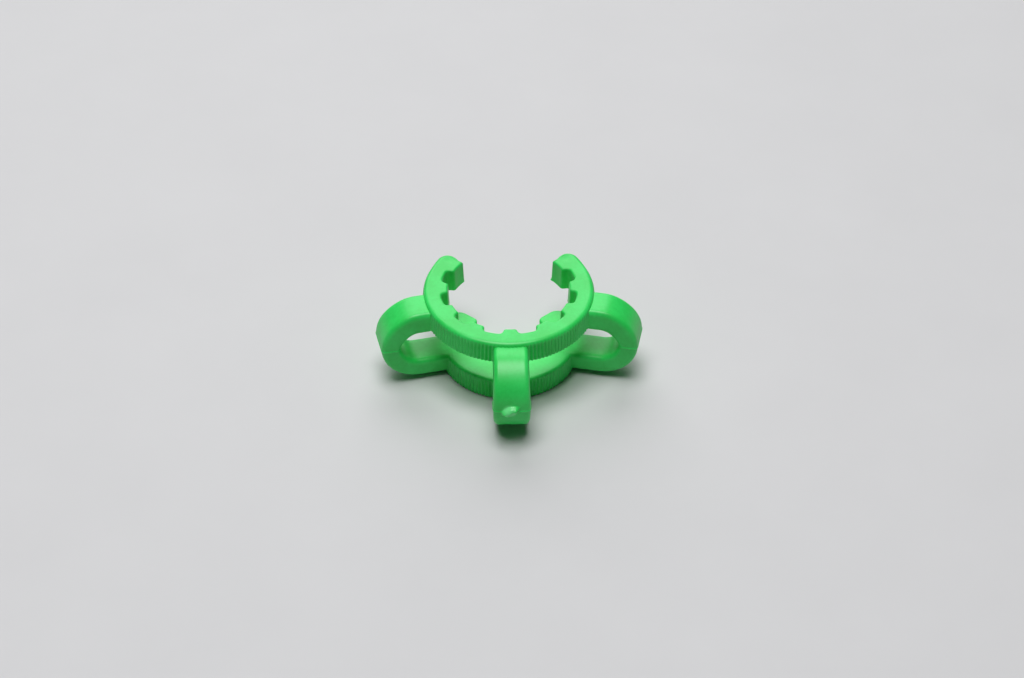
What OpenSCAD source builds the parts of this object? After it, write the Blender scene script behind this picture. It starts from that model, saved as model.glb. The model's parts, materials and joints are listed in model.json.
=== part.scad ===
// One-piece spring clip that holds a ground glass joint together.
// A wide toothed ring grips the socket, a narrow plain ring grips the stem of the cone,
// and three spring loops pull the two rings towards each other.
// The glassware runs along +Z, the rings open towards +Y, and the clip stands on its narrow ring.

/* [Overall] */
// Height from the underside of the narrow ring to the top of the wide ring
clip_h = 9.6; // [9:0.1:10.4]

/* [Wide ring] */
// Outside radius of the wide ring
wide_r = 9.5; // [9.2:0.1:10]
// Height of the wide ring
wide_h = 2.6; // [2.3:0.1:2.6]
// Rounding of the wide ring's upper outside edge
wide_rim = 0.55; // [0.3:0.05:0.7]
// Rounding of the wide ring's lower outside edge
wide_foot = 0.2; // [0.1:0.05:0.4]
// Half the angle that the wide ring leaves open
wide_open = 46.2; // [44:0.2:47]
// Rounding of the wide ring's outer arm-end corners, seen from above
wide_end = 1.2; // [1:0.1:1.3]

/* [Teeth] */
// Number of teeth inside the wide ring
tooth_count = 9; // [9]
// Angle from one tooth to the next
tooth_pitch = 30.9; // [30.6:0.1:31.2]
// Radius of the teeth's gripping faces
grip_r = 6.5; // [6.3:0.05:6.7]
// Radius of the ring's wall between the teeth
notch_r = 7.3; // [7.2:0.05:7.5]
// Half the angle that a tooth spans at its gripping face
tip_half = 7; // [6.6:0.1:7.2]
// Half the angle that a tooth spans at its root
root_half = 8.9; // [8.7:0.1:9.2]
// Bevel of a tooth's tip corners, along each side of the corner
tip_bevel = 0.12; // [0.08:0.01:0.2]

/* [Narrow ring] */
// Outside radius of the narrow ring
narrow_r = 7.6; // [7.4:0.1:7.8]
// Radius of the narrow ring's bore
bore_r = 4.2; // [4.1:0.05:4.3]
// Height of the narrow ring
narrow_h = 2.75; // [2.75:0.05:2.9]
// Rounding of the narrow ring's upper outside edge
narrow_rim = 0.5; // [0.3:0.05:0.7]
// Rounding of the narrow ring's lower outside edge
narrow_foot = 0.3; // [0.1:0.05:0.4]
// Half the angle that the narrow ring leaves open
narrow_open = 49.4; // [48:0.1:52]
// Rounding of the narrow ring's outer arm-end corners, seen from above
narrow_end = 1.3; // [1.2:0.1:1.6]
// Rounding of the narrow ring's inner arm-end corners, seen from above
narrow_end_in = 0.8; // [0.6:0.1:1]

/* [Spring loops] */
// Distance from the axis to a loop's outermost point
loop_reach = 14.5; // [14.2:0.1:15]
// Radius of a loop's outer bend
loop_bend = 4.2; // [4.1:0.05:4.3]
// Thickness of a loop's band
loop_thick = 2.1; // [2:0.05:2.1]
// Width of a loop's band
loop_width = 3.9; // [3.6:0.1:4.2]
// Rounding of the band's long edges
loop_edge = 0.35; // [0.2:0.05:0.5]
// Angle by which the two side loops lean back, away from the mouth
loop_lean = 12; // [10:1:15]

/* [Hidden] */
clip_green = [0.16, 0.62, 0.26];
// Facets for a full turn
$fn = 96;
// How far one shape reaches into the next
bite = 0.4;

// Height of the mould's parting plane, half way up the clip
mid_z = clip_h / 2;
wide_z = clip_h - wide_h;
// Directions of the loops and of the middle of the mouth, counter-clockwise from +X
mouth_dir = 90;
loop_dirs = [-loop_lean, 180 + loop_lean, 270];
// Angle from the middle of the mouth to the first tooth
first_turn = 180 - tooth_pitch * (tooth_count - 1) / 2;
// An arm-end rounding meets the end face smoothly and the ring's wall at a faint corner, because
// its circle reaches this far past the wall
end_past = 0.1;

// Middle of a loop's bend, and of the band's thickness from there
bend_x = loop_reach - loop_bend;
bend_mid = loop_bend - loop_thick / 2;

// A tooth's flank, from its tip corner to its root, in the tooth's own frame with +X outwards
flank_tip = grip_r * [cos(tip_half), sin(tip_half)];
flank_root = notch_r * [cos(root_half), sin(root_half)];
flank_dir = (flank_root - flank_tip) / norm(flank_root - flank_tip);
// The bevel's ends, on the flank and on the gripping face, and a point further along it
bevel_turn = tip_half - asin(tip_bevel / grip_r);
bevel_on_flank = flank_tip + tip_bevel * flank_dir;
bevel_on_grip = grip_r * [cos(bevel_turn), sin(bevel_turn)];
bevel_beyond = 2 * bevel_on_grip - bevel_on_flank;

// Upright half section of a disc whose edges are rounded
module round_edged_section(r, h, rim, foot) {
    square([r - rim, h]);
    square([r - foot, h - rim]);
    translate([0, foot])
        square([r, h - rim - foot]);
    translate([r - rim, h - rim])
        circle(rim);
    translate([r - foot, foot])
        circle(foot);
}

// A ring whose plan is the children, its outside edges rounded all the way round
module ring(r, h, rim, foot) {
    intersection() {
        rotate_extrude()
            round_edged_section(r, h, rim, foot);
        translate([0, 0, -bite])
            linear_extrude(h + 2 * bite)
                children();
    }
}

// A full ring in plan, a little larger than its outside
module ring_plan(r_in, r_out) {
    difference() {
        circle(r_out + bite);
        circle(r_in);
    }
}

// The open mouth in plan, as a wedge from the axis towards +Y
module mouth_plan(half_angle) {
    reach = 3 * wide_r;
    polygon([
        [0, 0],
        reach * [sin(half_angle), cos(half_angle)],
        reach * [-sin(half_angle), cos(half_angle)]
    ]);
}

// What is cut from both arms to round one corner of their end faces: all that lies ahead of a
// circle's middle and outside the circle, on the side away from the axis or towards it
module end_cuts(half_angle, r_mid, r_end, outwards) {
    for (side = [0, 1])
        mirror([side, 0])
            rotate(-half_angle - asin(r_end / r_mid))
                difference() {
                    translate([-2 * r_end, outwards ? r_mid : r_mid - 2 * r_end])
                        square(2 * r_end);
                    translate([0, r_mid])
                        circle(r_end);
                }
}

// One tooth in plan, its middle along +X, from inside the gripping faces to inside the ring's wall
module tooth_plan() {
    half = [bevel_beyond, bevel_on_flank, flank_root + bite * flank_dir];
    polygon(concat(half, [for (i = [2 : -1 : 0]) [half[i][0], -half[i][1]]]));
}

module wide_ring_plan() {
    difference() {
        union() {
            ring_plan(notch_r, wide_r);
            // Between the mouth and the middle of the first and last teeth there is no notch
            intersection() {
                circle(notch_r + bite);
                mouth_plan(first_turn);
            }
            for (i = [0 : tooth_count - 1])
                rotate(mouth_dir + first_turn + i * tooth_pitch)
                    tooth_plan();
        }
        circle(grip_r);
        mouth_plan(wide_open);
        end_cuts(wide_open, wide_r + end_past - wide_end, wide_end, true);
    }
}

module narrow_ring_plan() {
    difference() {
        ring_plan(bore_r, narrow_r);
        mouth_plan(narrow_open);
        end_cuts(narrow_open, narrow_r + end_past - narrow_end, narrow_end, true);
        end_cuts(narrow_open, bore_r - end_past + narrow_end_in, narrow_end_in, false);
    }
}

// Section of a loop's band: a rectangle, thick along X and wide along Y, with round corners
module band_section() {
    square([loop_thick - 2 * loop_edge, loop_width], center = true);
    square([loop_thick, loop_width - 2 * loop_edge], center = true);
    for (x = [-1, 1], y = [-1, 1])
        translate([x * (loop_thick / 2 - loop_edge), y * (loop_width / 2 - loop_edge)])
            circle(loop_edge);
}

// Straight leg of a loop, from inside a ring's wall to the bend, at this height
module loop_leg(from_x, z) {
    translate([from_x, 0, z])
        rotate([0, 90, 0])
            linear_extrude(bend_x - from_x)
                band_section();
}

// One loop along +X: a leg from each ring, joined by a half-round bend
module spring_loop() {
    loop_leg(wide_r - bite, mid_z + bend_mid);
    loop_leg(narrow_r - 2 * bite, mid_z - bend_mid);
    translate([bend_x, 0, mid_z])
        rotate([90, 0, 0])
            rotate_extrude(angle = 180, start = -90)
                translate([bend_mid, 0])
                    band_section();
}

module joint_clip() {
    color(clip_green) {
        translate([0, 0, wide_z])
            ring(wide_r, wide_h, wide_rim, wide_foot)
                wide_ring_plan();
        ring(narrow_r, narrow_h, narrow_rim, narrow_foot)
            narrow_ring_plan();
        for (dir = loop_dirs)
            rotate(dir)
                spring_loop();
    }
}

joint_clip();
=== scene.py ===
"""The looks of a one-piece moulded ground glass joint clip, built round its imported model.

Shapes are worked out in millimetres, in the part's own frame: the glassware's axis is Z, the mouth
opens towards +Y, and the clip stands on its narrow ring at the height 0. Directions in plan are in
degrees from the middle of the mouth, +Y, towards +X.
"""

import json
from collections import namedtuple

import bmesh
import bpy
import numpy as np
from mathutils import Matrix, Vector


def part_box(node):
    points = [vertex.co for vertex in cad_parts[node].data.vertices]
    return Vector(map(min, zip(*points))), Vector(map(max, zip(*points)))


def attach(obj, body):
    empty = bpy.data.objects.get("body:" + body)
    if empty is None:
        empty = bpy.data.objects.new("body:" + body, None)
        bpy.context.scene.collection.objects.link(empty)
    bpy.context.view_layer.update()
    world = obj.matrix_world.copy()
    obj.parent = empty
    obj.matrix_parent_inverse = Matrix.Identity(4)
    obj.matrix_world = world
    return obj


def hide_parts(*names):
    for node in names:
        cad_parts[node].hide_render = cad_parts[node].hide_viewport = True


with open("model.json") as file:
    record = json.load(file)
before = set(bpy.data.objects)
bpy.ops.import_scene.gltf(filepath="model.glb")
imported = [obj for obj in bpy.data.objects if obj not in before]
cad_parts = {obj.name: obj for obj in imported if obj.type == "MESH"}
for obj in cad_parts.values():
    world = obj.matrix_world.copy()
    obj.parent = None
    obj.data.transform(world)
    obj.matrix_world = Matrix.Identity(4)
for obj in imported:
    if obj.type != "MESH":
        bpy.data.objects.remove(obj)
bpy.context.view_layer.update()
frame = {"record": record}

MM = 0.001
CLIP = "joint_clip"
low, high = (np.array(corner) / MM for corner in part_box(CLIP))
MOUNTS = {mount["name"]: mount for mount in frame["record"]["mounts"]}

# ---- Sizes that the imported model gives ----
CLIP_TOP = high[2]
PARTING = CLIP_TOP / 2
LOOP_REACH = -low[1]
GRIP_R = MOUNTS["socket_grip"]["dims"]["r_mm"]
WIDE_H = MOUNTS["socket_grip"]["dims"]["length_mm"]
BORE_R = MOUNTS["stem_grip"]["dims"]["r_mm"]
NARROW_H = MOUNTS["stem_grip"]["dims"]["length_mm"]

# ---- Wide ring, in plan: its outline, end faces and teeth ----
WIDE_R = 9.42
WIDE_END = 46.2
WIDE_CORNER = 1.15
WIDE_MID_R = 7.9
NOTCH_R = 7.28
TEETH = 9
TOOTH_PITCH = 30.9
TIP_HALF = 7.2
ROOT_HALF = 9.0
# How much less the middle tooth spans to each side
MIDDLE_LESS = 0.8
PLAN_ROUNDING = 0.55

# ---- Wide ring, upright: edge roundings, draft and the slope of its underside ----
WIDE_FOOT = 0.1
WIDE_RIM = 0.55
TEETH_FOOT = 0.1
TEETH_RIM = 0.24
WIDE_DRAFT = 0.14
TEETH_DRAFT = 0.12
# The underside is lower than the plain height at its inner edge, and higher at its outer edge
UNDERSIDE_IN = 0.14
UNDERSIDE_OUT = 0.12

# ---- Burr along the teeth's bottom edge, and its whiskers at the arms' inner corners ----
BURR = 0.04
BURR_HALF_H = 0.08
RIGHT_WHISKER = 0.14
LEFT_WHISKER = 0.04
WHISKER_R = GRIP_R + 0.15
WHISKER_HALF = 0.22

# ---- Dishes in the arm tips ----
DISH_R = 8.05
DISH_TURN = WIDE_END + 6.2
DISH_HALF = 0.5
DISH_DEPTH = 0.08

# ---- Narrow ring ----
NARROW_R = 7.6
NARROW_END = 49.4
NARROW_CORNER = 1.3
NARROW_INNER_CORNER = 0.75
NARROW_MID_R = 5.5
NARROW_FOOT = 0.3
NARROW_RIM = 0.48
BORE_FOOT = 0.15
BORE_RIM = 0.2
NARROW_DRAFT = 0.1

# ---- Flutes: how many would go round each ring, and their form ----
WIDE_FLUTES = 138
NARROW_FLUTES = 110
FLUTE_DEPTH = 0.15
# A power below 1 makes the grooves fuller and the ribs narrower
GROOVE_POWER = 0.6
# Height over which a flute runs out, and the plain strip above the wide ring's flutes
FLUTE_RUNOUT = 0.5
WIDE_PLAIN = 0.1

# ---- How far from the middle of an arm's end face a ring's section takes its full form ----
EDGES_FULL = 2.2
FLUTES_START = 1.5
FLUTES_RUN = 3.0
INNER_RIM_FULL = 1.6
INNER_RELIEF_FULL = 0.6
# How much rounder the upper edge is at the end face
END_RIM_MORE = 0.12

# ---- Spring loops ----
LOOP_BEND = 4.2
LOOP_THICK = 2.1
LOOP_HALF_WIDTH = 2.0
LOOP_EDGE = 0.5
LOOP_LEAN = 12
# How far the legs reach into the rings
WIDE_ROOT = 0.75
NARROW_ROOT = 0.9
# The band is thicker towards the rings: outwards on the upper leg, and inwards on both
UPPER_OUT = 0.2
UPPER_OUT_RUN = 3.0
UPPER_OUT_RISE = 2.5
UPPER_IN = 0.28
LOWER_IN = 0.12
# How quickly the inward thickening comes in, as the band turns from upright to level
IN_PACE = 1.5
# Inside the wide ring the upper leg's underside rises by this much, from this far in and over
# this length
LEG_RISE = 0.5
LEG_RISE_FROM = 0.3
LEG_RISE_RUN = 0.45
# How much narrower the band is at the legs than at the parting plane, and in what power it grows
BAND_TAPER = 0.08
BAND_TAPER_POWER = 1.6
RIDGE_H = 0.065
RIDGE_HALF = 0.075

# ---- Torn-off gate ----
# How far it lies beside the middle of the back loop, along X
GATE_SIDE = -0.23
GATE_SLANT = 0.6
GATE_RAISED = 0.05
GATE_HALF_WIDTH = 0.78
GATE_HALF_H = 0.62
GATE_PROUD = 0.34
# Where the lump has run out, in its own half sizes, and over how much of them
GATE_EDGE = 1.2
GATE_EDGE_RUN = 0.5
# How much the broken top varies, as a share of the lump's height
GATE_BROKEN = 0.35
GATE_LIP = 0.35
GATE_LIP_UP = 0.25
GATE_LIP_SLANT = 0.3
GATE_LIP_HALF = 0.22
# Where the painted highlight round the gate, a paler and glossier patch, starts to fade, and where it ends
GATE_HIGHLIGHT = 0.5
GATE_HIGHLIGHT_END = 1.0

# ---- Fineness of the grids ----
POINTS_PER_DEGREE = 16
SOFTEN_STEP = 0.01
STRAIGHT_POINTS = 200
CORNER_WEIGHT = 0.25
STEPS_PER_FLUTE = 6
WIDE_END_STEPS = 96
NARROW_END_STEPS = 44
NARROW_END_SPAN = 14
FILLET_STEPS = 5
WALL_STEPS = 6
TOP_STEPS = 10
UNDER_STEPS = 5
LEG_STEPS = 14
BEND_STEPS = 104
# The bend's steps at the parting plane, as a share of even ones
BEND_MIDDLE_PACE = 0.12
SECTION_STEP = 0.3
GATE_STEP = 0.13
WELD = 0.0002
# Faces that meet at more than this many degrees keep a sharp edge
CREASE = 38

# One wall of a ring: its outline with normals, the height of its bottom, the radii of the
# roundings at its foot and rim, and a function from heights to how far its points are sunk
Wall = namedtuple("Wall", "outline bottom foot rim relief")


def smooth(x):
    """Rises from 0 to 1 as x does, level at both ends: 3 x^2 - 2 x^3."""
    x = np.clip(x, 0, 1)
    return x * x * (3 - 2 * x)


def bell(x):
    """1 at 0 and falling away on both sides: e to the minus x squared."""
    return np.exp(-x * x)


def polar(radius, turn):
    """Points in plan at these radii and directions: x = r sin a, y = r cos a."""
    turn = np.radians(turn)
    return np.stack(np.broadcast_arrays(radius * np.sin(turn), radius * np.cos(turn)), axis=-1)


def arc(radius, start, stop, centre=(0, 0)):
    """A fine arc in plan about a centre."""
    count = int(abs(stop - start) * POINTS_PER_DEGREE) + 2
    return np.asarray(centre) + polar(radius, np.linspace(start, stop, count))


def lengths(line):
    """How far along a line each of its points is."""
    return np.concatenate(([0], np.cumsum(np.hypot(*np.diff(line, axis=0).T))))


def spread(line, steps, turn_weight=0.0):
    """Points along a line, even in its length plus turn_weight for each radian it has turned."""
    step = np.diff(line, axis=0)
    heading = np.unwrap(np.arctan2(step[:, 1], step[:, 0]))
    turned = np.concatenate(([0, 0], np.cumsum(np.abs(np.diff(heading)))))
    measure = lengths(line) + turn_weight * turned
    at = np.linspace(0, measure[-1], steps + 1)
    return np.stack([np.interp(at, measure, line[:, i]) for i in (0, 1)], axis=-1)


def soften(line, width):
    """Rounds a line's corners: each point becomes the average of the stretch round it."""
    fine = spread(line, int(lengths(line)[-1] / SOFTEN_STEP))
    half = int(width / SOFTEN_STEP / 2)
    kernel = np.full(2 * half + 1, 1 / (2 * half + 1))
    padded = np.pad(fine, ((half, half), (0, 0)), mode="reflect", reflect_type="odd")
    return np.stack([np.convolve(padded[:, i], kernel, mode="valid") for i in (0, 1)], axis=-1)


def directions(line):
    """The direction in plan of each point of a line, in degrees from the mouth."""
    return np.degrees(np.arctan2(line[:, 0], line[:, 1])) % 360


def outline_from(half, split, end_steps, main_steps, turn_weight=0.0):
    """A ring's outline from the middle of one arm's end face to the middle of the other's. Its half
    at +X gets evenly spread points, in two stretches that meet at the direction split, and is
    followed by its mirror image."""
    at = np.argmax(directions(half) >= split)
    end = spread(half[: at + 1], end_steps, turn_weight)
    main = spread(half[at:], main_steps, turn_weight)
    half = np.concatenate((end, main[1:]))
    half[-1, 0] = 0
    return np.concatenate((half, half[-2::-1] * (-1, 1)))


def with_normals(line, side):
    """A line's points and its unit normals, to the left of its way for side 1, else the right."""
    way = np.gradient(line, axis=0)
    way /= np.linalg.norm(way, axis=1, keepdims=True)
    return line, side * np.stack((-way[:, 1], way[:, 0]), axis=-1)


def ring_side(wall, top):
    """One side of a ring, from its underside up: a quarter-round foot, a wall and a quarter-round
    rim. A point is moved into the plastic from the outline, along its normal, by its inset."""
    points, normals = wall.outline
    turn = np.linspace(0, np.pi / 2, FILLET_STEPS + 1)
    up = np.linspace(0, 1, WALL_STEPS + 2)[1:-1]
    foot, rim, bottom = (
        np.broadcast_to(size, len(points))[:, None] for size in (wall.foot, wall.rim, wall.bottom)
    )
    wall_low, wall_high = bottom + foot, top - rim
    inset = np.hstack((foot * (1 - np.sin(turn)), 0 * foot * up, rim * (1 - np.cos(turn))))
    height = np.hstack((
        bottom + foot * (1 - np.cos(turn)),
        wall_low + (wall_high - wall_low) * up,
        top - rim * (1 - np.sin(turn)),
    ))
    inset = inset + wall.relief(height)
    return np.dstack((points[:, None] - inset[..., None] * normals[:, None], height))


def bridge(start, stop, count):
    """Points between two lines, evenly on the straight way from each point to its partner."""
    way = np.linspace(0, 1, count + 2)[1:-1, None]
    return start[:, None] * (1 - way) + stop[:, None] * way


def skin(name, rows):
    """A closed skin over a grid of points. Each row joins the next, and its last point its first.
    The first and last rows are folded or drawn together, and are welded shut."""
    count, width = rows.shape[:2]
    here = np.arange(width)
    beside = np.roll(here, -1)
    row = np.arange(count - 1)[:, None] * width
    faces = np.stack((row + here, row + beside, row + beside + width, row + here + width), axis=-1)
    mesh = bpy.data.meshes.new(name)
    mesh.from_pydata((rows.reshape(-1, 3) * MM).tolist(), [], faces.reshape(-1, 4).tolist())
    work = bmesh.new()
    work.from_mesh(mesh)
    bmesh.ops.remove_doubles(work, verts=work.verts, dist=WELD * MM)
    bmesh.ops.recalc_face_normals(work, faces=work.faces)
    work.to_mesh(mesh)
    work.free()
    piece = bpy.data.objects.new(name, mesh)
    bpy.context.scene.collection.objects.link(piece)
    return piece


def to_end(line):
    """How far each point of an outline is from its nearer end, along it."""
    along = lengths(line)
    return np.minimum(along, along[::-1])


def ring_rows(outer, inner, top, dip):
    """A ring's grid: at each pair of outline points, a section that goes up the outer wall,
    across the top, down the inner wall and back along the underside. Towards the arm ends
    both walls take the same roundings and heights, so that the section folds shut there.
    The top is sunk by dip of its points."""
    # At an end face both walls are moved along one normal
    for end in (0, -1):
        shared = outer.outline[1][end] + inner.outline[1][end]
        shared /= np.linalg.norm(shared)
        outer.outline[1][end] = inner.outline[1][end] = shared
    end_rim = inner.rim + END_RIM_MORE
    outer_end, inner_end = to_end(outer.outline[0]), to_end(inner.outline[0])
    full = smooth(outer_end / EDGES_FULL)
    fluted = smooth((outer_end - FLUTES_START) / FLUTES_RUN)[:, None]
    relieved = smooth(inner_end / INNER_RELIEF_FULL)[:, None]
    outer_side = ring_side(Wall(
        outer.outline,
        inner.bottom + (outer.bottom - inner.bottom) * full,
        inner.foot + (outer.foot - inner.foot) * full,
        end_rim + (outer.rim - end_rim) * full,
        lambda height: outer.relief(height) * fluted,
    ), top)
    inner_side = ring_side(Wall(
        inner.outline,
        inner.bottom,
        inner.foot,
        end_rim + (inner.rim - end_rim) * smooth(inner_end / INNER_RIM_FULL),
        lambda height: inner.relief(height) * relieved,
    ), top)
    across = bridge(outer_side[:, -1], inner_side[:, -1], TOP_STEPS)
    across[..., 2] -= dip(across)
    under = bridge(inner_side[:, 0], outer_side[:, 0], UNDER_STEPS)
    return np.concatenate((outer_side, across, inner_side[:, ::-1], under), axis=1)


def flutes(outline, count, bottom, top, plain, low_draft, high_draft):
    """Relief of an outer wall. Its upright flutes are sunk by (1 - |sin|) to a power, in narrow
    grooves between rounded ribs, and run out below a plain strip at the top. Its draft sinks it
    evenly more, or less, from the bottom to the top."""
    phase = np.radians(directions(outline[0]) - 180)[:, None] * count / 2
    groove = FLUTE_DEPTH * (1 - np.abs(np.sin(phase))) ** GROOVE_POWER

    def relief(height):
        draft = low_draft + (high_draft - low_draft) * (height - bottom) / (top - bottom)
        return groove * smooth((top - plain - height) / FLUTE_RUNOUT) + draft

    return relief


def end_face(radius, mid_r, open_half, corner, side):
    """Half an outline: from the middle of an arm's end face, at mid_r, round a corner to the ring's
    wall, and along the wall to its middle. The wall is outside the corner for side 1, else inside."""
    corner_r = radius - side * corner
    corner_turn = open_half + np.degrees(np.arcsin(corner / corner_r))
    stop = corner_turn if side == 1 else corner_turn - 180
    return np.concatenate((
        [polar(mid_r, open_half)],
        arc(corner, open_half - 90, stop, polar(corner_r, corner_turn)),
        arc(radius, corner_turn, 180),
    ))


def wide_ring():
    """The toothed ring. Its inner outline runs in straight steps of direction and radius from the
    middle of one end face, over the teeth and notches, to the other, and is then softened."""
    outer_bottom = CLIP_TOP - WIDE_H + UNDERSIDE_OUT
    inner_bottom = CLIP_TOP - WIDE_H - UNDERSIDE_IN
    first = 180 - TOOTH_PITCH * (TEETH - 1) / 2
    split = first + TOOTH_PITCH / 2
    main_steps = int((180 - split) / 360 * WIDE_FLUTES * STEPS_PER_FLUTE)

    teeth = first + TOOTH_PITCH * np.arange(TEETH)
    tooth_turns = np.array((-ROOT_HALF, -TIP_HALF, TIP_HALF, ROOT_HALF))
    turns = teeth[:, None] + tooth_turns
    turns[TEETH // 2] -= MIDDLE_LESS * np.sign(tooth_turns)
    turns = turns.ravel()
    radii = np.tile((NOTCH_R, GRIP_R, GRIP_R, NOTCH_R), TEETH)
    # The first and last teeth reach to the end faces, without a flank on that side
    turns = np.concatenate(([WIDE_END] * 2, turns[2:-2], [360 - WIDE_END] * 2))
    radii = np.concatenate(([WIDE_MID_R, GRIP_R], radii[2:-2], [GRIP_R, WIDE_MID_R]))
    corners = np.arange(len(turns))
    fine = np.linspace(0, corners[-1], corners[-1] * STRAIGHT_POINTS + 1)
    inner = polar(np.interp(fine, corners, radii), np.interp(fine, corners, turns))
    inner = soften(soften(inner, PLAN_ROUNDING), PLAN_ROUNDING / 2)
    inner = inner[: len(inner) // 2 + 1]

    outer = end_face(WIDE_R, WIDE_MID_R, WIDE_END, WIDE_CORNER, 1)
    outer = with_normals(outline_from(outer, split, WIDE_END_STEPS, main_steps), 1)
    inner = with_normals(outline_from(inner, split, WIDE_END_STEPS, main_steps, CORNER_WEIGHT), -1)

    right, left = (
        bell(np.linalg.norm(inner[0] - polar(WHISKER_R, side), axis=1) / WHISKER_HALF)[:, None]
        for side in (WIDE_END, 360 - WIDE_END)
    )
    burr = BURR + RIGHT_WHISKER * right + LEFT_WHISKER * left

    def teeth_relief(height):
        """The draft of the teeth, and a thin burr along their bottom edge."""
        draft = TEETH_DRAFT * (height - inner_bottom) / WIDE_H
        return draft - burr * bell((height - inner_bottom) / BURR_HALF_H)

    def dishes(points):
        """A shallow round dish in the top of each arm's tip."""
        away = [
            np.linalg.norm(points[..., :2] - polar(DISH_R, side), axis=-1)
            for side in (DISH_TURN, 360 - DISH_TURN)
        ]
        return DISH_DEPTH * sum(bell(distance / DISH_HALF) for distance in away)

    relief = flutes(outer, WIDE_FLUTES, outer_bottom, CLIP_TOP, WIDE_PLAIN, 0, WIDE_DRAFT)
    rows = ring_rows(
        Wall(outer, outer_bottom, WIDE_FOOT, WIDE_RIM, relief),
        Wall(inner, inner_bottom, TEETH_FOOT, TEETH_RIM, teeth_relief),
        CLIP_TOP,
        dishes,
    )
    return skin("wide_ring", rows)


def narrow_ring():
    """The plain ring, with a round bore and arms whose corners are rounded in plan."""
    split = NARROW_END + NARROW_END_SPAN
    main_steps = int((180 - NARROW_END) / 360 * NARROW_FLUTES * STEPS_PER_FLUTE)
    outlines = []
    for radius, corner, side in ((NARROW_R, NARROW_CORNER, 1), (BORE_R, NARROW_INNER_CORNER, -1)):
        half = end_face(radius, NARROW_MID_R, NARROW_END, corner, side)
        outline = outline_from(half, split, NARROW_END_STEPS, main_steps)
        outlines.append(with_normals(outline, side))
    outer, inner = outlines
    relief = flutes(outer, NARROW_FLUTES, 0, NARROW_H, 0, NARROW_DRAFT, 0)
    rows = ring_rows(
        Wall(outer, 0, NARROW_FOOT, NARROW_RIM, relief),
        Wall(inner, 0, BORE_FOOT, BORE_RIM, np.zeros_like),
        NARROW_H,
        lambda points: 0,
    )
    return skin("narrow_ring", rows)


def band_section(half_thick, half_wide, edge, step):
    """A loop's section, thick along its first axis and wide along its second: points round a
    rectangle with quarter-round corners, and the outward normal of each. More points fill in the
    straight sides, about a step apart."""
    turn = np.radians(np.arange(4)[:, None] * 90 + np.linspace(0, 90, FILLET_STEPS + 1))
    way = np.stack((np.cos(turn), np.sin(turn)), axis=-1)
    middle = np.sign(way[:, 1:2]) * (half_thick - edge, half_wide - edge)
    at = (middle + edge * way).reshape(-1, 2)
    way = way.reshape(-1, 2)
    at, way = (np.concatenate((line, line[:1])) for line in (at, way))
    measure = lengths(at)
    extra = np.linspace(0, measure[-1], int(measure[-1] / step), endpoint=False)
    clear = np.abs(extra[:, None] - measure).min(axis=1) > step / 3
    stops = np.sort(np.concatenate((measure[:-1], extra[clear])))
    return tuple(
        np.stack([np.interp(stops, measure, line[:, i]) for i in (0, 1)], axis=-1) for line in (at, way)
    )


def spring_loop(name, turn, lump=None):
    """A band carried along a leg from the wide ring, a half-round bend and a leg to the narrow
    ring, in the direction turn. It is widest at the parting plane, with a fine ridge there on its
    outer faces, and stands proud of its outer face by lump of the place on it."""
    mid = LOOP_BEND - LOOP_THICK / 2
    bend_x = LOOP_REACH - LOOP_BEND
    upper = np.linspace(WIDE_R - WIDE_ROOT, bend_x, LEG_STEPS, endpoint=False)
    lower = np.linspace(bend_x, NARROW_R - NARROW_ROOT, LEG_STEPS + 1)[1:]
    u = np.linspace(-1, 1, BEND_STEPS + 1)
    bend = -90 * (BEND_MIDDLE_PACE * u + (1 - BEND_MIDDLE_PACE) * u ** 3)
    x = np.concatenate((upper, np.full(len(bend), bend_x), lower))
    angle = np.radians(np.concatenate((np.full(LEG_STEPS, 90), bend, np.full(LEG_STEPS, -90))))
    normal = np.stack((np.cos(angle), np.sin(angle)), axis=-1)
    centre = np.stack((x, np.full(len(x), PARTING)), axis=-1) + mid * normal

    step = GATE_STEP if lump else SECTION_STEP
    section, facing = band_section(LOOP_THICK / 2, LOOP_HALF_WIDTH, LOOP_EDGE, step)
    out = section[:, 0]
    inwards = (out.max() - out) / (2 * out.max())
    upwards = IN_PACE * normal[:, 1]
    thicker = UPPER_IN * smooth(upwards) + LOWER_IN * smooth(-upwards)
    in_ring = smooth((WIDE_R - LEG_RISE_FROM - x) / LEG_RISE_RUN) * (angle > 0)
    rise = (LEG_RISE + UPPER_IN) * in_ring
    out = out + (rise - thicker)[:, None] * inwards
    place = centre[:, None] + out[..., None] * normal[:, None]
    off = place[..., 1] - PARTING
    across = section[:, 1] * (1 - BAND_TAPER * (np.abs(off) / LOOP_BEND) ** BAND_TAPER_POWER)

    push = RIDGE_H * bell(off / RIDGE_HALF) * smooth(facing[:, 0] + 1)
    if lump:
        push = push + lump(across, off) * smooth(facing[:, 0])
    place = place + (push * facing[:, 0])[..., None] * normal[:, None]
    across = across + push * facing[:, 1]
    near_ring = smooth((bend_x + UPPER_OUT_RUN - place[..., 0]) / UPPER_OUT_RUN)
    place[..., 1] += UPPER_OUT * near_ring * smooth(off / UPPER_OUT_RISE) * (1 - inwards)

    shut = [np.broadcast_to(place[i].mean(axis=0), place[i].shape) for i in (0, -1)]
    place = np.concatenate((shut[:1], place, shut[1:]))
    across = np.concatenate((across[:1] * 0, across, across[-1:] * 0))
    radial, tangent = polar(1, turn), polar(1, turn + 90)
    plan = place[..., :1] * radial + across[..., None] * tangent
    return skin(name, np.dstack((plan, place[..., 1])))


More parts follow.
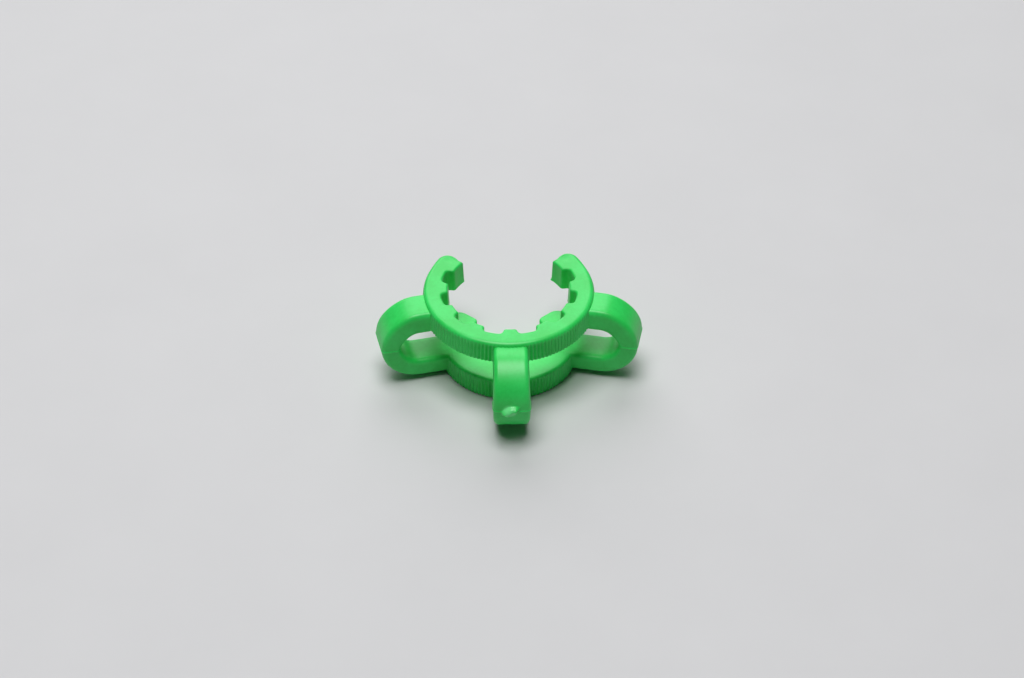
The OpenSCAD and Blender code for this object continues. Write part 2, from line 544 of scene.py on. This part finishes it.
def gate_stub(across, off):
    """How far the torn-off gate stands proud of the back loop: a slanting round lump, whose top is
    broken up by a product of sines and raised in a lip along its upper side."""
    # On the back loop, across runs towards -X
    side = across + GATE_SIDE + GATE_SLANT * off
    spot = np.hypot(side / GATE_HALF_WIDTH, (off - GATE_RAISED) / GATE_HALF_H)
    body = smooth((GATE_EDGE - spot) / GATE_EDGE_RUN)
    broken = 1 + GATE_BROKEN * np.sin(6 * across + 8 * off) * np.cos(5 * off - 3 * across + 1)
    lip = bell((off - GATE_LIP_UP + GATE_LIP_SLANT * side) / GATE_LIP_HALF)
    return body * (GATE_PROUD * broken + GATE_LIP * lip)


def united(name, solids):
    """One skin round several closed solids, each joined to the first by a Boolean union, smooth
    except where its faces meet at more than the crease angle."""
    body = solids[0]
    for other in solids[1:]:
        join = body.modifiers.new(other.name, "BOOLEAN")
        join.operation = "UNION"
        join.solver = "MANIFOLD"
        join.object = other
    graph = bpy.context.evaluated_depsgraph_get()
    mesh = bpy.data.meshes.new_from_object(body.evaluated_get(graph))
    mesh.name = name
    for solid in solids:
        bpy.data.objects.remove(solid)
    mesh.shade_smooth()
    mesh.set_sharp_from_angle(angle=np.radians(CREASE))
    piece = bpy.data.objects.new(name, mesh)
    bpy.context.scene.collection.objects.link(piece)
    return piece


class Value:
    """A shader socket that Python's operators act on: each one adds a Math node."""

    def __init__(self, paint, socket):
        self.paint = paint
        self.socket = socket

    def _math(self, operation, first, second):
        return self.paint.node("ShaderNodeMath", {"operation": operation}, {0: first, 1: second})["Value"]

    def __add__(self, other):
        return self._math("ADD", self, other)

    def __radd__(self, other):
        return self._math("ADD", other, self)

    def __sub__(self, other):
        return self._math("SUBTRACT", self, other)

    def __rsub__(self, other):
        return self._math("SUBTRACT", other, self)

    def __mul__(self, other):
        return self._math("MULTIPLY", self, other)

    def __rmul__(self, other):
        return self._math("MULTIPLY", other, self)


class Paint:
    """A material and its nodes."""

    def __init__(self, name):
        self.material = bpy.data.materials.new(name)
        self.material.use_nodes = True
        self.tree = self.material.node_tree
        self.tree.nodes.clear()

    def node(self, kind, settings=None, sockets=None):
        """Adds a node, makes its settings, then fills its sockets with values or links.
        Returns its outputs that are in use, as Values by their names."""
        node = self.tree.nodes.new(kind)
        for name, setting in (settings or {}).items():
            setattr(node, name, setting)
        for name, value in (sockets or {}).items():
            if isinstance(value, Value):
                self.tree.links.new(value.socket, node.inputs[name])
            else:
                node.inputs[name].default_value = value
        return {socket.name: Value(self, socket) for socket in node.outputs if socket.enabled}

    def noise(self, place, scale, detail, roughness):
        """Fractal noise from about 0 to 1."""
        return self.node("ShaderNodeTexNoise", None, {
            "Vector": place, "Scale": scale, "Detail": detail, "Roughness": roughness
        })["Fac"]

    def ease(self, value, start, stop, low=0.0, high=1.0):
        """Maps start to stop smoothly onto low to high."""
        return self.node("ShaderNodeMapRange", {"interpolation_type": "SMOOTHSTEP"}, {
            "Value": value, "From Min": start, "From Max": stop, "To Min": low, "To Max": high
        })["Result"]

    def mix(self, factor, first, second):
        """A colour between two others."""
        return self.node("ShaderNodeMix", {"data_type": "RGBA"}, {
            0: factor, 6: first, 7: second
        })["Result"]


def green_acetal():
    """Green acetal as moulded: satin, with cloudy flow tones, fine grain and upright draw marks on the
    walls, and a painted highlight: a paler, glossier patch round the gate lump."""
    paint = Paint("green_acetal")
    place = paint.node("ShaderNodeTexCoord")["Object"]
    face = paint.node("ShaderNodeNewGeometry")["Normal"]
    upward = paint.node("ShaderNodeSeparateXYZ", None, {"Vector": face})["Z"]
    level = paint.node("ShaderNodeMath", {"operation": "ABSOLUTE"}, {0: upward})["Value"]
    upright = paint.ease(level, 0.25, 0.7, 1.0, 0.0)

    cloud = paint.noise(place, scale=210, detail=3.0, roughness=0.55)
    speck = paint.noise(place, scale=2600, detail=3.0, roughness=0.6)
    grain = paint.noise(place, scale=7000, detail=2.0, roughness=0.5)
    drawn = paint.node("ShaderNodeMapping", None, {"Vector": place, "Scale": (1, 1, 0.03)})["Vector"]
    streak = paint.noise(drawn, scale=5200, detail=3.0, roughness=0.6)

    # Painted highlight: near the gate the colour turns paler and the surface a little glossier, standing in
    # for the light on the gate lump
    gate = Vector((GATE_SIDE, -LOOP_REACH, PARTING)) * MM
    away = paint.node("ShaderNodeVectorMath", {"operation": "DISTANCE"}, {0: place, 1: gate})["Value"]
    gate_highlight = paint.ease(away, GATE_HIGHLIGHT * MM, GATE_HIGHLIGHT_END * MM, 1.0, 0.0)

    tone = paint.ease(cloud * 0.75 + speck * 0.25, 0.35, 0.65)
    colour = paint.mix(tone, (0.024, 0.62, 0.09, 1), (0.038, 0.73, 0.135, 1))
    colour = paint.mix(gate_highlight * 0.7, colour, (0.25, 0.95, 0.38, 1))
    roughness = 0.32 + cloud * 0.10 + streak * upright * 0.10 - gate_highlight * 0.05
    relief = grain * 0.35 + speck * 0.3 + streak * upright * 0.5
    bump = paint.node("ShaderNodeBump", None, {
        "Strength": 0.35, "Distance": 0.00002, "Height": relief
    })["Normal"]
    surface = paint.node("ShaderNodeBsdfPrincipled", None, {
        "Base Color": colour,
        "Roughness": roughness,
        "Normal": bump,
        "IOR": 1.48,
        "Specular IOR Level": 0.5,
        "Subsurface Weight": 0.05,
        "Subsurface Radius": (0.25, 1.0, 0.35),
        "Subsurface Scale": 0.0006,
    })["BSDF"]
    paint.node("ShaderNodeOutputMaterial", None, {"Surface": surface})
    return paint.material


def floor_finish():
    """A pale matt tabletop, barely mottled."""
    paint = Paint("pale_floor")
    place = paint.node("ShaderNodeTexCoord")["Object"]
    mottle = paint.noise(place, scale=60, detail=4.0, roughness=0.6)
    colour = paint.mix(mottle, (0.57, 0.57, 0.58, 1), (0.61, 0.61, 0.62, 1))
    surface = paint.node("ShaderNodeBsdfPrincipled", None, {"Base Color": colour, "Roughness": 0.7})["BSDF"]
    paint.node("ShaderNodeOutputMaterial", None, {"Surface": surface})
    return paint.material


def make_floor():
    """A square that the clip stands on."""
    reach = 3.0
    mesh = bpy.data.meshes.new("floor")
    corners = [(x * reach, y * reach, low[2] * MM) for x, y in ((-1, -1), (1, -1), (1, 1), (-1, 1))]
    mesh.from_pydata(corners, [], [(0, 1, 2, 3)])
    mesh.materials.append(floor_finish())
    floor = bpy.data.objects.new("floor", mesh)
    bpy.context.scene.collection.objects.link(floor)


def make_camera():
    """A long lens that looks down on the clip from behind its middle loop."""
    azimuth, elevation, distance = np.radians(-1.4), np.radians(41.5), 0.3146
    target = Vector((0.35, 0, PARTING - 2.563)) * MM
    back = Vector((
        np.sin(azimuth) * np.cos(elevation), -np.cos(azimuth) * np.cos(elevation), np.sin(elevation)
    ))
    data = bpy.data.cameras.new("camera")
    data.lens = 100.5
    data.sensor_width = 36
    data.clip_start = 0.01
    camera = bpy.data.objects.new("camera", data)
    camera.location = target + back * distance
    camera.rotation_mode = "QUATERNION"
    camera.rotation_quaternion = (-back).to_track_quat("-Z", "Y")
    bpy.context.scene.collection.objects.link(camera)
    bpy.context.scene.camera = camera


def soft_light(name, place, size, power):
    """A square soft box that faces the clip."""
    data = bpy.data.lights.new(name, "AREA")
    data.size = size
    data.energy = power
    light = bpy.data.objects.new(name, data)
    light.location = place
    light.rotation_mode = "QUATERNION"
    light.rotation_quaternion = (-Vector(place)).to_track_quat("-Z", "Y")
    bpy.context.scene.collection.objects.link(light)


def make_light():
    """A soft box overhead, a larger and lower one beyond the clip, and a dim pale room."""
    soft_light("key", (-0.03, -0.04, 0.5), size=0.28, power=2.15)
    soft_light("back", (-0.05, 0.45, 0.36), size=0.5, power=1.9)
    world = bpy.data.worlds.new("room")
    world.use_nodes = True
    backdrop = world.node_tree.nodes["Background"]
    backdrop.inputs["Color"].default_value = (0.9, 0.95, 1.0, 1)
    backdrop.inputs["Strength"].default_value = 0.03
    bpy.context.scene.world = world
    bpy.context.scene.view_settings.view_transform = "Standard"


make_camera()
make_light()
make_floor()
solids = [wide_ring(), narrow_ring()]
solids.append(spring_loop("back_loop", 180, gate_stub))
for side, turn in (("right", 90 + LOOP_LEAN), ("left", 270 - LOOP_LEAN)):
    solids.append(spring_loop(f"{side}_loop", turn))
clip = united("moulded_clip", solids)
clip.data.materials.clear()
clip.data.materials.append(green_acetal())
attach(clip, "root")
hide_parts(CLIP)
